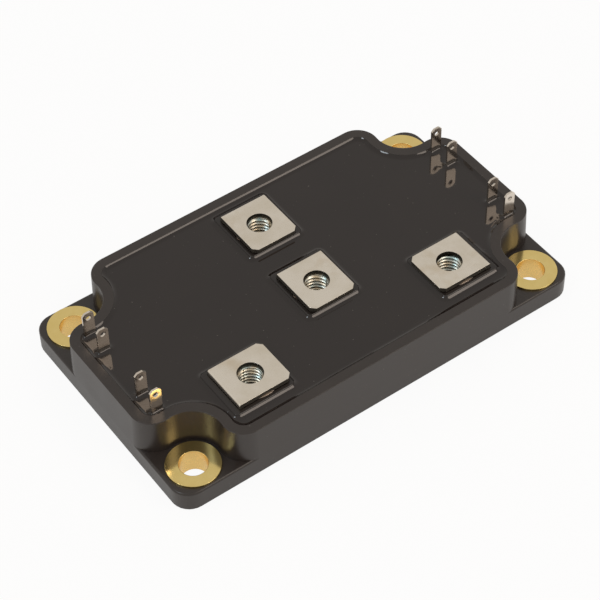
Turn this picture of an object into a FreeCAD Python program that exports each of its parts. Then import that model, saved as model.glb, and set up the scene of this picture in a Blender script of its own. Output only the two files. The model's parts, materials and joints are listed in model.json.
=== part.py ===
import FreeCAD, Part
import math
import os

# Low flat power module with an insulated base.
# A moulded frame with four screw ears stands on a copper-clad ceramic plate. The plate carries
# the dies, soft gel covers them, and hard casting resin closes the top. Four screw terminals
# and eight blade terminals stand out of the resin.
# Millimetres. X runs along the length, Y across it and Z upwards. The origin is the middle of
# the base, on the face that sits on the heat sink.
# The sizes grow from the inside out: the dies and tracks set the plate, and the plate sets the
# fixing holes and the frame. With these values the holes lie 93 by 48 apart.

# Fixing holes, from the edges of the ceramic plate
hole_end_room = 9.5
hole_side_inset = 3.0

# Frame outside
ear_end_rim = 1.1
ear_side_rim = 0.6
frame_lift = 0.2
ear_top = 5.5
ear_corner_radius = 6.0
ear_edge_radius = 0.8
rim_top = 14.6
end_wall_draft = 0.3
side_wall_draft = 0.1
notch_gap = 0.7
notch_draft = 0.5
shoulder_radius = 5.2

# Frame inside
wall_thickness = 2.8
floor_top = 2.2
shelf_step = 3.7
shelf_top = 4.7

# Bushings in the ears
bushing_bore_radius = 3.2
bushing_barrel_radius = 4.6
bushing_flange_radius = 6.1
bushing_flange_thickness = 0.7
bushing_stand = 0.5
bushing_chamfer = 0.3
bushing_seat_gap = 0.02

# Insulated base plate
plate_thickness = 0.63
copper_thickness = 0.3
base_copper_margin = 1.0
plate_gap = 0.2
glue_thickness = 0.17
glue_width = 1.8
track_margin = 0.6

# Copper tracks, from the back of the plate to the front
track_gap = 0.6
lane_gap = 0.8
strip_width = 1.0
foot_margin = 0.4
foot_strip_gap = 0.2
phase_upper_width = 7.0
negative_width = 12.2
row_end_room = 3.0
strip_overrun = 2.0
sensor_pad_size = 2.0
sensor_pad_length = 5.6

# Dies
die_count = 6
die_pitch = 10.8
switch_die_size = 9.2
diode_die_size = 6.6
die_thickness = 0.25
solder_thickness = 0.1
switch_die_margin = 0.4
sensor_length = 3.2
sensor_width = 1.6
sensor_height = 0.9

# Bond ribbons and wires
ribbon_width = 2.0
ribbon_thickness = 0.3
ribbon_spread = 2.2
ribbon_rise = 1.5
ribbon_reach = 2.2
ribbon_crest = (0.3, 0.7)
wire_crest = (0.4, 0.6)
bond_foot = 0.9
wire_thickness = 0.3
wire_rise = 0.8
riser_crest = (0.6, 0.8)
gate_pad_inset = 0.7
wire_inset = 0.7

# Screw terminals
terminal_stand = 1.5
terminal_thickness = 1.2
terminal_width = 12.1
terminal_front = 6.8
terminal_corner = 1.1
terminal_hole_radius = 3.15
bend_inner_radius = 0.3
leg_nut_gap = 0.3
end_foot_margin = 0.5
leg_width = 7.8
leg_slot_width = 2.4
leg_neck_drop = 3.0
leg_slot_top = 8.5
foot_length = 3.4

# Captive nuts
nut_across_flats = 11.0
nut_height = 5.0
nut_bore_radius = 2.5
nut_mouth_radius = 2.95
nut_edge_angle = 30.0

# Nut holders
holder_side_wall = 0.75
holder_front_ledge = 0.3
holder_back_wall = 1.5
holder_corner_radius = 1.0
holder_drop = 0.2
holder_bottom = 6.5
nut_pocket_gap = 0.05
leg_pocket_gap = 0.1
bend_room = 0.2
well_radius = 3.6
well_floor = 0.9

# Blade terminals
blade_inset = 2.6
blade_notch_room = 0.6
blade_pitch = 5.8
blade_width = 2.8
blade_thickness = 0.5
blade_stand = 6.75
blade_corner = 0.7
blade_hole_radius = 0.6
blade_hole_drop = 1.7
blade_bend_radius = 0.4
finger_width = 2.9
finger_setback = 0.7
finger_gap = 0.05

# Fillings
gel_top = 9.0
resin_drop = 0.8

# Smallest length that tells one edge from another
edge_tolerance = 1e-6

# The plate, from what it carries
gate_band_width = strip_width + 2 * track_gap
die_lane_width = switch_die_size + 2 * switch_die_margin
positive_upper_width = foot_margin + foot_length + foot_strip_gap
row_length = (die_count - 1) * die_pitch + switch_die_size + 2 * row_end_room
stack_width = (positive_upper_width + phase_upper_width + negative_width
               + 2 * (gate_band_width + die_lane_width + lane_gap))
track_half_x = row_length / 2
track_half_y = stack_width / 2
window_half_x = track_half_x + track_margin
window_half_y = track_half_y + track_margin
plate_half_x = window_half_x + glue_width
plate_half_y = window_half_y + glue_width

# Heights and half sizes that follow from the values above
hole_x = plate_half_x + hole_end_room
hole_y = plate_half_y - hole_side_inset
half_length = hole_x + bushing_flange_radius + ear_end_rim
half_width = hole_y + bushing_flange_radius + ear_side_rim
bushing_top = ear_top + bushing_stand
resin_top = rim_top - resin_drop
terminal_top = rim_top + terminal_stand
blade_top = rim_top + blade_stand
rim_half_x = half_length - end_wall_draft
rim_half_y = half_width - side_wall_draft
notch_foot_radius = bushing_flange_radius + notch_gap
notch_rim_radius = notch_foot_radius + notch_draft
ceramic_bottom = copper_thickness
ceramic_top = ceramic_bottom + plate_thickness
seat_top = ceramic_top + glue_thickness
track_top = ceramic_top + copper_thickness
die_bottom = track_top + solder_thickness
die_top = die_bottom + die_thickness
shelf_start = window_half_x + shelf_step
finger_end = shelf_start + finger_setback
shelf_groove = shelf_top - blade_thickness
blade_x = rim_half_x - wall_thickness - blade_inset
blade_outer_y = hole_y - notch_rim_radius - wall_thickness - blade_notch_room
blade_inner_y = blade_outer_y - blade_pitch
blade_rows = (blade_outer_y, blade_inner_y, -blade_inner_y, -blade_outer_y)
terminal_bottom = terminal_top - terminal_thickness
terminal_back = nut_across_flats / 2 + leg_nut_gap + terminal_thickness
bend_outer_radius = bend_inner_radius + terminal_thickness
nut_corner = nut_across_flats / math.sqrt(3)
nut_top = terminal_bottom
nut_bottom = nut_top - nut_height
holder_top = terminal_bottom - holder_drop
leg_pocket_half = terminal_width / 2 + leg_pocket_gap
holder_half_width = max(nut_corner, leg_pocket_half) + holder_side_wall
holder_front = terminal_front + holder_front_ledge
holder_back = terminal_back + leg_pocket_gap + holder_back_wall

# Track edges across the plate, worked out from the back edge to the front edge
positive_back = track_half_y
positive_split = positive_back - positive_upper_width
high_strip_back = positive_split - track_gap
high_strip_front = high_strip_back - strip_width
positive_lower_back = high_strip_front - track_gap
positive_front = positive_lower_back - die_lane_width
phase_back = positive_front - lane_gap
phase_split = phase_back - phase_upper_width
low_strip_back = phase_split - track_gap
low_strip_front = low_strip_back - strip_width
phase_lower_back = low_strip_front - track_gap
phase_front = phase_lower_back - die_lane_width
negative_back = phase_front - lane_gap
negative_front = negative_back - negative_width
high_row_y = positive_lower_back - switch_die_margin - switch_die_size / 2
low_row_y = phase_lower_back - switch_die_margin - switch_die_size / 2

# Screw terminals by name: X and Y of the hole, turn, and the way that the foot's toe points.
# Each leg stands on its own track, clear of the bonds that land beside it.
toe_front = -1
toe_back = 1
back_terminal_y = positive_back - foot_margin - terminal_back
middle_terminal_y = phase_split + foot_margin - (terminal_back - terminal_thickness)
end_terminal_x = track_half_x - end_foot_margin - terminal_back
end_terminal_y = negative_back - wire_inset - bond_foot - leg_width / 2
terminal_places = {
    "main_terminal_1": (0.0, back_terminal_y, 0.0, toe_front),
    "main_terminal_2": (0.0, middle_terminal_y, 0.0, toe_back),
    "main_terminal_3": (end_terminal_x, end_terminal_y, -90.0, toe_front),
    "main_terminal_4": (-end_terminal_x, end_terminal_y, 90.0, toe_front),
}


def vec(x, y, z=0.0):
    return FreeCAD.Vector(x, y, z)


def box_between(x0, x1, y0, y1, z0, z1):
    return Part.makeBox(x1 - x0, y1 - y0, z1 - z0, vec(x0, y0, z0))


def centred_box(size_x, size_y, z0, z1, x=0.0, y=0.0):
    return box_between(x - size_x / 2, x + size_x / 2, y - size_y / 2, y + size_y / 2, z0, z1)


def round_bar(radius, z0, z1, x=0.0, y=0.0):
    return Part.makeCylinder(radius, z1 - z0, vec(x, y, z0))


def line(start, end):
    return Part.LineSegment(start, end).toShape()


def arc(start, middle, end):
    return Part.Arc(start, middle, end).toShape()


def column(wire, height):
    return Part.Face(wire).extrude(vec(0, 0, height))


def polygon_face(points):
    return Part.Face(Part.makePolygon(points + [points[0]]))


def save(name, shape):
    shape.exportStep("parts/" + name + ".step")


def unit(v):
    return v * (1.0 / v.Length)


def corner_arcs(half_x, half_y, notch, shoulder):
    """Three tangent arcs at the corner with +X and +Y, from the end wall to the side wall.
    The middle one is centred on the fixing hole, and the outer two meet the straight walls."""
    hole = vec(hole_x, hole_y)
    reach = notch + shoulder
    end_x = half_x - shoulder
    end_centre = vec(end_x, hole_y - math.sqrt(reach ** 2 - (hole_x - end_x) ** 2))
    side_y = half_y - shoulder
    side_centre = vec(hole_x - math.sqrt(reach ** 2 - (hole_y - side_y) ** 2), side_y)
    to_end = unit(end_centre - hole)
    to_side = unit(side_centre - hole)
    end_start = end_centre + vec(shoulder, 0)
    end_stop = hole + to_end * notch
    end_middle = end_centre + unit(vec(1, 0) - to_end) * shoulder
    side_start = hole + to_side * notch
    side_stop = side_centre + vec(0, shoulder)
    side_middle = side_centre + unit(vec(0, 1) - to_side) * shoulder
    notch_middle = hole + unit(to_end + to_side) * notch
    return [(end_start, end_middle, end_stop),
            (end_stop, notch_middle, side_start),
            (side_start, side_middle, side_stop)]


def notched_outline(half_x, half_y, notch, shoulder, z):
    """Closed outline of a rectangle whose corners are cut back around the fixing holes."""
    corner = corner_arcs(half_x, half_y, notch, shoulder)
    edges = []
    ends = []
    for sign_x, sign_y in ((1, 1), (-1, 1), (-1, -1), (1, -1)):
        arcs = []
        for points in corner:
            arcs.append([vec(sign_x * p.x, sign_y * p.y, z) for p in points])
        if sign_x * sign_y < 0:
            arcs = [points[::-1] for points in arcs[::-1]]
        if ends:
            edges.append(line(ends[-1], arcs[0][0]))
        ends += [arcs[0][0], arcs[-1][-1]]
        edges += [arc(*points) for points in arcs]
    edges.append(line(ends[-1], ends[0]))
    return Part.Wire(edges)


def foot_outline(z):
    return notched_outline(half_length, half_width, notch_foot_radius,
                           shoulder_radius + notch_draft, z)


def rim_outline(z):
    return notched_outline(rim_half_x, rim_half_y, notch_rim_radius, shoulder_radius, z)


def cavity_outline(z):
    """Inner outline of the frame, one wall thickness inside the rim."""
    return notched_outline(rim_half_x - wall_thickness, rim_half_y - wall_thickness,
                           notch_rim_radius + wall_thickness,
                           shoulder_radius - wall_thickness, z)


def rounded_block(x0, x1, y0, y1, z0, z1, radius):
    block = box_between(x0, x1, y0, y1, z0, z1)
    upright = [e for e in block.Edges if abs(e.tangentAt(e.FirstParameter).z) > 0.9]
    return block.makeFillet(radius, upright)


def fixing_places():
    return [(sx * hole_x, sy * hole_y) for sy in (1, -1) for sx in (-1, 1)]


def ear_plate():
    plate = rounded_block(-half_length, half_length, -half_width, half_width,
                          frame_lift, ear_top, ear_corner_radius)
    top_edges = [e for e in plate.Edges if e.BoundBox.ZMin > ear_top - edge_tolerance]
    return plate.makeFillet(ear_edge_radius, top_edges)


def wall_block():
    """Walls taken as a full block: upright beside the ears, then drafted up to the rim."""
    lower = column(foot_outline(frame_lift), ear_top - frame_lift)
    upper = Part.makeLoft([foot_outline(ear_top), rim_outline(rim_top)], True, True)
    return lower.fuse(upper)


def inside_space(top):
    """Everything that the frame encloses above the ceramic plate, up to the given height."""
    above_shelf = column(cavity_outline(shelf_top), top - shelf_top)
    beside_shelf = column(cavity_outline(floor_top), shelf_top - floor_top)
    middle = centred_box(2 * shelf_start, 2 * half_width, floor_top, shelf_top)
    window = centred_box(2 * window_half_x, 2 * window_half_y, ceramic_top, floor_top)
    return above_shelf.fuse([beside_shelf.common(middle), window]).removeSplitter()


def finger_band(row, gap):
    """Lowest and highest Y of the flat finger that belongs to one blade row."""
    side = 1 if row > 0 else -1
    outer = row + side * (blade_thickness / 2 + gap)
    inner = row + side * (blade_thickness / 2 - finger_width - gap)
    return min(outer, inner), max(outer, inner)


def shelf_grooves():
    grooves = []
    blade_edge = blade_x + blade_width / 2 + finger_gap
    for side in (-1, 1):
        for row in blade_rows:
            low, high = finger_band(row, finger_gap)
            x0, x1 = sorted((side * shelf_start, side * blade_edge))
            grooves.append(box_between(x0, x1, low, high, shelf_groove, shelf_top))
    return grooves


def housing():
    shell = ear_plate().fuse(wall_block()).removeSplitter()
    pocket = centred_box(2 * (plate_half_x + plate_gap), 2 * (plate_half_y + plate_gap),
                         frame_lift, seat_top)
    cuts = [inside_space(rim_top), pocket] + shelf_grooves()
    flange_seat = bushing_top - bushing_flange_thickness
    for x, y in fixing_places():
        barrel = bushing_barrel_radius + bushing_seat_gap
        flange = bushing_flange_radius + bushing_seat_gap
        cuts.append(round_bar(barrel, frame_lift, ear_top, x, y))
        cuts.append(round_bar(flange, flange_seat, bushing_top, x, y))
    return shell.cut(cuts)


def bushing(x, y):
    """Turned sleeve with a flange, drawn as half of its section and turned about its axis."""
    under = bushing_top - bushing_flange_thickness
    section = polygon_face([
        vec(bushing_bore_radius, 0, 0),
        vec(bushing_barrel_radius, 0, 0),
        vec(bushing_barrel_radius, 0, under),
        vec(bushing_flange_radius, 0, under),
        vec(bushing_flange_radius, 0, bushing_top),
        vec(bushing_bore_radius + bushing_chamfer, 0, bushing_top),
        vec(bushing_bore_radius, 0, bushing_top - bushing_chamfer),
    ])
    solid = section.revolve(vec(0, 0, 0), vec(0, 0, 1), 360)
    solid.translate(vec(x, y, 0))
    return solid


def ceramic_plate():
    return centred_box(2 * plate_half_x, 2 * plate_half_y, ceramic_bottom, ceramic_top)


def base_copper():
    return centred_box(2 * (plate_half_x - base_copper_margin),
                       2 * (plate_half_y - base_copper_margin), 0, ceramic_bottom)


def glue_seam():
    outer = centred_box(2 * plate_half_x, 2 * plate_half_y, ceramic_top, seat_top)
    inner = centred_box(2 * window_half_x, 2 * window_half_y, ceramic_top, seat_top)
    return outer.cut(inner)


def die_x(index):
    return (index - (die_count - 1) / 2) * die_pitch


def switch_die_places(row):
    """X of the switch dies: they alternate with the diodes, and the two rows are mirrored."""
    sign = 1 if row == "high" else -1
    return [sign * die_x(i) for i in range(0, die_count, 2)]


def diode_die_places(row):
    sign = 1 if row == "high" else -1
    return [sign * die_x(i) for i in range(1, die_count, 2)]


def track(x0, x1, y0, y1):
    return box_between(x0, x1, y0, y1, ceramic_top, track_top)


def strip_end():
    """How far a gate strip runs past the middle of the plate."""
    return max(switch_die_places("high")) + strip_overrun


def tracks():
    """The etched copper on top of the ceramic, by name. Each main track is cut along its
    length by the gate strip of the row of dies that it carries."""
    hx = track_half_x
    link = strip_end() + track_gap
    sensor_start = hx - sensor_pad_length
    positive_upper = track(-hx, sensor_start - track_gap, positive_split, positive_back)
    positive_link = track(link, sensor_start - track_gap, positive_lower_back, positive_split)
    positive_lower = track(-hx, hx, positive_front, positive_lower_back)
    phase_upper = track(-hx, hx, phase_split, phase_back)
    phase_link = track(-hx, -link, phase_lower_back, phase_split)
    phase_lower = track(-hx, hx, phase_front, phase_lower_back)
    pad_step = sensor_pad_size + track_gap
    pad_back = positive_back - pad_step
    return {
        "track_positive": positive_upper.fuse([positive_link, positive_lower]).removeSplitter(),
        "track_phase": phase_upper.fuse([phase_link, phase_lower]).removeSplitter(),
        "track_negative": track(-hx, hx, negative_front, negative_back),
        "track_gate_high": track(-hx, strip_end(), high_strip_front, high_strip_back),
        "track_gate_low": track(-strip_end(), hx, low_strip_front, low_strip_back),
        "track_sensor_back": track(sensor_start, hx, positive_back - sensor_pad_size,
                                   positive_back),
        "track_sensor_front": track(sensor_start, hx, pad_back - sensor_pad_size, pad_back),
    }


def dies():
    """Switch and diode dies of both rows, by name."""
    named = {}
    for row, y in (("high", high_row_y), ("low", low_row_y)):
        for number, x in enumerate(switch_die_places(row), 1):
            named["switch_die_%s_%d" % (row, number)] = (x, y, switch_die_size)
        for number, x in enumerate(diode_die_places(row), 1):
            named["diode_die_%s_%d" % (row, number)] = (x, y, diode_die_size)
    return named


def die(x, y, size):
    return centred_box(size, size, die_bottom, die_top, x, y)


def sensor_place():
    x = track_half_x - sensor_pad_length / 2
    y = positive_back - sensor_pad_size - track_gap / 2
    return x, y


def sensor_chip():
    x, y = sensor_place()
    return centred_box(sensor_width, sensor_length, die_bottom, die_bottom + sensor_height, x, y)


def solder_layers():
    """Thin solder under each die, under the ends of the sensor chip and under each prong."""
    layers = [centred_box(size, size, track_top, die_bottom, x, y)
              for x, y, size in dies().values()]
    x, y = sensor_place()
    end = (sensor_length - track_gap) / 2
    for side in (-1, 1):
        middle = y + side * (track_gap + end) / 2
        layers.append(centred_box(sensor_width, end, track_top, die_bottom, x, middle))
    prong = (leg_width - leg_slot_width) / 2
    for x, y, turn, toe in terminal_places.values():
        near, far = foot_span(toe)
        for side in (-1, 1):
            middle = side * (leg_slot_width + prong) / 2
            pad = box_between(middle - prong / 2, middle + prong / 2, near, far,
                              track_top, die_bottom)
            layers.append(placed(pad, x, y, turn))
    return Part.makeCompound(layers)


def placed(shape, x, y, turn):
    """A copy turned about the upright axis and then moved to its place."""
    copy = shape.copy()
    copy.rotate(vec(0, 0, 0), vec(0, 0, 1), turn)
    copy.translate(vec(x, y, 0))
    return copy


def bond(start, end, width, thickness, rise, crest):
    """Flat strip bonded at both ends, with a raised middle between two shares of its run. Its
    side view is drawn along the line between the two feet, and is then given its width."""
    run = vec(end.x - start.x, end.y - start.y).Length
    half_foot = bond_foot / 2
    top = max(start.z, end.z) + rise
    underside = [
        vec(-half_foot, 0, start.z),
        vec(half_foot, 0, start.z),
        vec(run * crest[0], 0, top),
        vec(run * crest[1], 0, top),
        vec(run - half_foot, 0, end.z),
        vec(run + half_foot, 0, end.z),
    ]
    upper_side = [p + vec(0, 0, thickness) for p in reversed(underside)]
    strip = polygon_face(underside + upper_side).extrude(vec(0, width, 0))
    strip.translate(vec(0, -width / 2, 0))
    turn = math.degrees(math.atan2(end.y - start.y, end.x - start.x))
    return placed(strip, start.x, start.y, turn)


def row_ribbons(row):
    """Ribbons from the dies of one row to the next track towards the front."""
    row_y, landing = {
        "high": (high_row_y, phase_back - wire_inset - bond_foot / 2),
        "low": (low_row_y, negative_back - wire_inset - bond_foot / 2),
    }[row]
    ribbons = []
    for x in switch_die_places(row):
        for side in (-1, 1):
            top = vec(x + side * ribbon_spread, row_y - ribbon_reach, die_top)
            ribbons.append(bond(top, vec(top.x, landing, track_top),
                                ribbon_width, ribbon_thickness, ribbon_rise, ribbon_crest))
    for x in diode_die_places(row):
        top = vec(x, row_y - ribbon_reach / 2, die_top)
        ribbons.append(bond(top, vec(x, landing, track_top),
                            ribbon_width, ribbon_thickness, ribbon_rise, ribbon_crest))
    return Part.makeCompound(ribbons)


def gate_wires():
    wires = []
    for row, row_y, strip in (("high", high_row_y, (high_strip_front + high_strip_back) / 2),
                              ("low", low_row_y, (low_strip_front + low_strip_back) / 2)):
        for x in switch_die_places(row):
            start = vec(x, row_y + switch_die_size / 2 - gate_pad_inset, die_top)
            wires.append(bond(start, vec(x, strip, track_top),
                              wire_thickness, wire_thickness, wire_rise, wire_crest))
    return Part.makeCompound(wires)


def sense_wires():
    """Wires from the tracks to the inner ends of the blade terminals' fingers."""
    edge = track_half_x - wire_inset
    pad_back = positive_back - sensor_pad_size / 2
    negative = negative_back - wire_inset
    sources = {
        -1: ((high_strip_front + high_strip_back) / 2, positive_front + wire_inset,
             phase_front + die_lane_width / 2, negative),
        1: (pad_back, pad_back - sensor_pad_size - track_gap,
            (low_strip_front + low_strip_back) / 2, negative),
    }
    wires = []
    for side in (-1, 1):
        for row, source in zip(blade_rows, sources[side]):
            low, high = finger_band(row, 0.0)
            start = vec(side * edge, source, track_top)
            end = vec(side * (finger_end + wire_inset), (low + high) / 2, shelf_top)
            wires.append(bond(start, end, wire_thickness, wire_thickness, wire_rise,
                              riser_crest))
    return Part.makeCompound(wires)


def foot_span(toe):
    """Y range of a terminal's solder foot, in the terminal's own frame."""
    inner = terminal_back - terminal_thickness
    if toe == toe_front:
        return terminal_back - foot_length, terminal_back
    return inner, inner + foot_length


def heel_edges(solid, bottom, y):
    """The lowest edges that run along X at the given Y, where a strip is bent into its foot."""
    return [e for e in solid.Edges
            if e.BoundBox.ZMax < bottom + edge_tolerance
            and e.BoundBox.YLength < edge_tolerance
            and abs(e.BoundBox.YMin - y) < edge_tolerance]


def terminal_side_view():
    """Side view of the plate, the bend and the leg, in the plane X = 0."""
    inner = terminal_back - terminal_thickness
    bend_y = terminal_back - bend_outer_radius
    bend_z = terminal_top - bend_outer_radius
    half = math.sqrt(0.5)
    outer_middle = vec(0, bend_y + half * bend_outer_radius, bend_z + half * bend_outer_radius)
    inner_middle = vec(0, bend_y + half * bend_inner_radius, bend_z + half * bend_inner_radius)
    plate_end = vec(0, -terminal_front, terminal_top)
    under_end = vec(0, -terminal_front, terminal_bottom)
    bend_start = vec(0, bend_y, terminal_top)
    under_bend = vec(0, bend_y, terminal_bottom)
    outer_top = vec(0, terminal_back, bend_z)
    inner_top = vec(0, inner, bend_z)
    outer_foot = vec(0, terminal_back, die_bottom)
    inner_foot = vec(0, inner, die_bottom)
    return Part.Wire([
        line(plate_end, bend_start),
        arc(bend_start, outer_middle, outer_top),
        line(outer_top, outer_foot),
        line(outer_foot, inner_foot),
        line(inner_foot, inner_top),
        arc(inner_top, inner_middle, under_bend),
        line(under_bend, under_end),
        line(under_end, plate_end),
    ])


def terminal_cuts(near, far):
    """What is stamped out of the strip: the screw hole, the two corners of the plate, both
    sides of the leg and the slot between its two prongs."""
    t = terminal_thickness
    side = terminal_width / 2
    neck_top = terminal_top - leg_neck_drop
    cuts = [round_bar(terminal_hole_radius, terminal_bottom, terminal_top),
            box_between(-leg_slot_width / 2, leg_slot_width / 2, near - t, far + t,
                        die_bottom, leg_slot_top)]
    for sign in (-1, 1):
        x0, x1 = sorted((sign * leg_width / 2, sign * side))
        cuts.append(box_between(x0, x1, near - t, far + t, die_bottom, neck_top))
        corner = polygon_face([
            vec(sign * side, -terminal_front, terminal_bottom),
            vec(sign * side, -terminal_front + terminal_corner, terminal_bottom),
            vec(sign * (side - terminal_corner), -terminal_front, terminal_bottom),
        ])
        cuts.append(corner.extrude(vec(0, 0, t)))
    return cuts


def main_terminal(toe):
    """Folded strip with its hole at the origin and its leg at the back."""
    t = terminal_thickness
    side = terminal_width / 2
    strip = Part.Face(terminal_side_view()).extrude(vec(terminal_width, 0, 0))
    strip.translate(vec(-side, 0, 0))
    near, far = foot_span(toe)
    foot = box_between(-side, side, near, far, die_bottom, die_bottom + t)
    strip = strip.fuse(foot).removeSplitter()
    heel_y = far if toe == toe_front else near
    strip = strip.makeFillet(t, heel_edges(strip, die_bottom, heel_y))
    return strip.cut(terminal_cuts(near, far))


def hexagon(across_flats, z0, z1):
    """Upright six-sided block with two corners on the X axis."""
    radius = across_flats / math.sqrt(3)
    points = []
    for i in range(6):
        angle = math.radians(60 * i)
        points.append(vec(radius * math.cos(angle), radius * math.sin(angle), z0))
    return polygon_face(points).extrude(vec(0, 0, z1 - z0))


def captive_nut():
    """Hexagon nut with its upper corners turned down, a countersunk mouth and a plain bore at
    the thread's inner diameter."""
    block = hexagon(nut_across_flats, nut_bottom, nut_top)
    face = nut_across_flats / 2
    drop = (nut_corner - face) * math.tan(math.radians(nut_edge_angle))
    mouth_depth = nut_mouth_radius - nut_bore_radius
    section = polygon_face([
        vec(nut_bore_radius, 0, nut_bottom),
        vec(nut_corner, 0, nut_bottom),
        vec(nut_corner, 0, nut_top - drop),
        vec(face, 0, nut_top),
        vec(nut_mouth_radius, 0, nut_top),
        vec(nut_bore_radius, 0, nut_top - mouth_depth),
    ])
    return block.common(section.revolve(vec(0, 0, 0), vec(0, 0, 1), 360))


def holder_block():
    return rounded_block(-holder_half_width, holder_half_width, -holder_front, holder_back,
                         holder_bottom, holder_top, holder_corner_radius)


def nut_holder():
    """Moulded block with a six-sided pocket for the nut, a blind well for the screw's end and
    a slot at the back for the terminal's leg."""
    pocket = hexagon(nut_across_flats + 2 * nut_pocket_gap, nut_bottom, holder_top)
    well = round_bar(well_radius, holder_bottom + well_floor, nut_bottom)
    slot = box_between(-leg_pocket_half, leg_pocket_half,
                       terminal_back - bend_outer_radius - bend_room,
                       terminal_back + leg_pocket_gap, holder_bottom, holder_top)
    return holder_block().cut([pocket, well, slot])


def blade_terminal(side, row):
    """Stamped blade with a flat finger at its foot that reaches towards the ceramic plate."""
    outward = 1 if row > 0 else -1
    t = blade_thickness
    low, high = finger_band(row, 0.0)
    blade = centred_box(blade_width, t, shelf_groove, blade_top, side * blade_x, row)
    corners = [e for e in blade.Edges
               if e.BoundBox.YLength > t / 2 and e.BoundBox.ZMin > blade_top - edge_tolerance]
    blade = blade.makeChamfer(blade_corner, corners)
    eye = Part.makeCylinder(blade_hole_radius, t,
                            vec(side * blade_x, row - t / 2, blade_top - blade_hole_drop),
                            vec(0, 1, 0))
    blade = blade.cut(eye)
    x0, x1 = sorted((side * finger_end, side * (blade_x + blade_width / 2)))
    finger = box_between(x0, x1, low, high, shelf_groove, shelf_top)
    whole = blade.fuse(finger).removeSplitter()
    heel = heel_edges(whole, shelf_groove, row + outward * t / 2)
    return whole.makeFillet(blade_bend_radius, heel)


def holder_blocks():
    return [placed(holder_block(), x, y, turn) for x, y, turn, toe in terminal_places.values()]


def casting_resin(blades):
    slab = column(cavity_outline(gel_top), resin_top - gel_top)
    return slab.cut(holder_blocks() + blades)


def soft_gel(solids):
    return inside_space(gel_top).cut(holder_blocks() + solids)


def build_all():
    save("housing", housing())
    for number, (x, y) in enumerate(fixing_places(), 1):
        save("bushing_%d" % number, bushing(x, y))
    save("ceramic_plate", ceramic_plate())
    save("base_copper", base_copper())
    save("glue_seam", glue_seam())
    inner = []
    for name, shape in tracks().items():
        save(name, shape)
        inner.append(shape)
    for name, (x, y, size) in dies().items():
        save(name, die(x, y, size))
        inner.append(die(x, y, size))
    singles = {
        "sensor_chip": sensor_chip(),
        "solder_layers": solder_layers(),
        "ribbons_high": row_ribbons("high"),
        "ribbons_low": row_ribbons("low"),
        "gate_wires": gate_wires(),
        "sense_wires": sense_wires(),
    }
    for name, shape in singles.items():
        save(name, shape)
        inner += shape.Solids
    for name, (x, y, turn, toe) in terminal_places.items():
        terminal = placed(main_terminal(toe), x, y, turn)
        save(name, terminal)
        inner.append(terminal)
        save(name.replace("main_terminal", "captive_nut"), placed(captive_nut(), x, y, turn))
        save(name.replace("main_terminal", "nut_holder"), placed(nut_holder(), x, y, turn))
    blades = []
    for side, word in ((-1, "left"), (1, "right")):
        for number, row in enumerate(blade_rows, 1):
            blade = blade_terminal(side, row)
            save("blade_%s_%d" % (word, number), blade)
            blades.append(blade)
    save("casting_resin", casting_resin(blades))
    save("soft_gel", soft_gel(inner + blades))


os.makedirs("parts", exist_ok=True)
build_all()
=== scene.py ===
import json
import math

import bmesh
import bpy
import numpy as np
from mathutils import Matrix, Vector
from mathutils.geometry import delaunay_2d_cdt


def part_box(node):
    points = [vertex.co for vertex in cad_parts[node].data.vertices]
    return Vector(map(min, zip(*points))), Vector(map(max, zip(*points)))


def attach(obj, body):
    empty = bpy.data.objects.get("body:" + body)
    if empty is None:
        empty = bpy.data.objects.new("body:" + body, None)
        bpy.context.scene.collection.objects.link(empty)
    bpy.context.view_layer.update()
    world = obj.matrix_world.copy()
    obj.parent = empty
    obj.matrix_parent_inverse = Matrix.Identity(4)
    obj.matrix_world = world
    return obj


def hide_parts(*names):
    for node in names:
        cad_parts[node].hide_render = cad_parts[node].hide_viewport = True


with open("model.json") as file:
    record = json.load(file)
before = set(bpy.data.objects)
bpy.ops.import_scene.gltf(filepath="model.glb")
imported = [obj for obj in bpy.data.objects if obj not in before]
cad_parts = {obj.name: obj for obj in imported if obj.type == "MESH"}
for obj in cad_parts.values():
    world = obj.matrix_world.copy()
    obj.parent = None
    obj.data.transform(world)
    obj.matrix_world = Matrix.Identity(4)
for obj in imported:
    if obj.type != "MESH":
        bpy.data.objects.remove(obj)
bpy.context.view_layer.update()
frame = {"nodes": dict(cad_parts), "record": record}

# The module: a moulded frame on a copper-clad ceramic base, filled with casting resin, with
# four screw terminals over captive nuts, eight blade terminals and four bushed screw ears.
# Sizes below are millimetres, and solid() turns them into metres.
MM = 0.001

# Distances under which points count as one: in a net, on a cut and in a finished piece. Edges
# shorter than the sliver are dissolved.
NET_MERGE, CUT_MERGE, PIECE_MERGE, SLIVER = 1e-5, 1e-6, 0.002, 0.0005


def extent(node):
    """Lowest and highest corner of a node, in millimetres."""
    low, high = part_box(node)
    return np.array(low) / MM, np.array(high) / MM


# Sizes read from the frame
frame_low, frame_high = extent("housing")
half_length, half_width, rim_top = frame_high
frame_lift = frame_low[2]
bush_low, bush_high = extent("bushing_1")
bush_middle = (bush_low + bush_high) / 2
hole_x, hole_y = abs(bush_middle[0]), abs(bush_middle[1])
flange_radius = (bush_high[0] - bush_low[0]) / 2
bush_top = bush_high[2]
plate_half_x, plate_half_y = extent("ceramic_plate")[1][:2]
resin_low, resin_high = extent("casting_resin")
cavity_half_x, cavity_half_y, resin_top = resin_high
resin_bottom = resin_low[2]
nut_low, nut_high = extent("captive_nut_1")
nut_bottom, nut_top = nut_low[2], nut_high[2]
nut_middle_y = (nut_low[1] + nut_high[1]) / 2
nut_half = (nut_high[1] - nut_low[1]) / 2
nut_corner = nut_half * 2 / math.sqrt(3)
tab_low, tab_high = extent("main_terminal_1")
tab_top, tab_foot = tab_high[2], tab_low[2]
tab_half = (tab_high[0] - tab_low[0]) / 2
tab_back = tab_high[1] - nut_middle_y
tab_front = nut_middle_y - tab_low[1]
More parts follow.
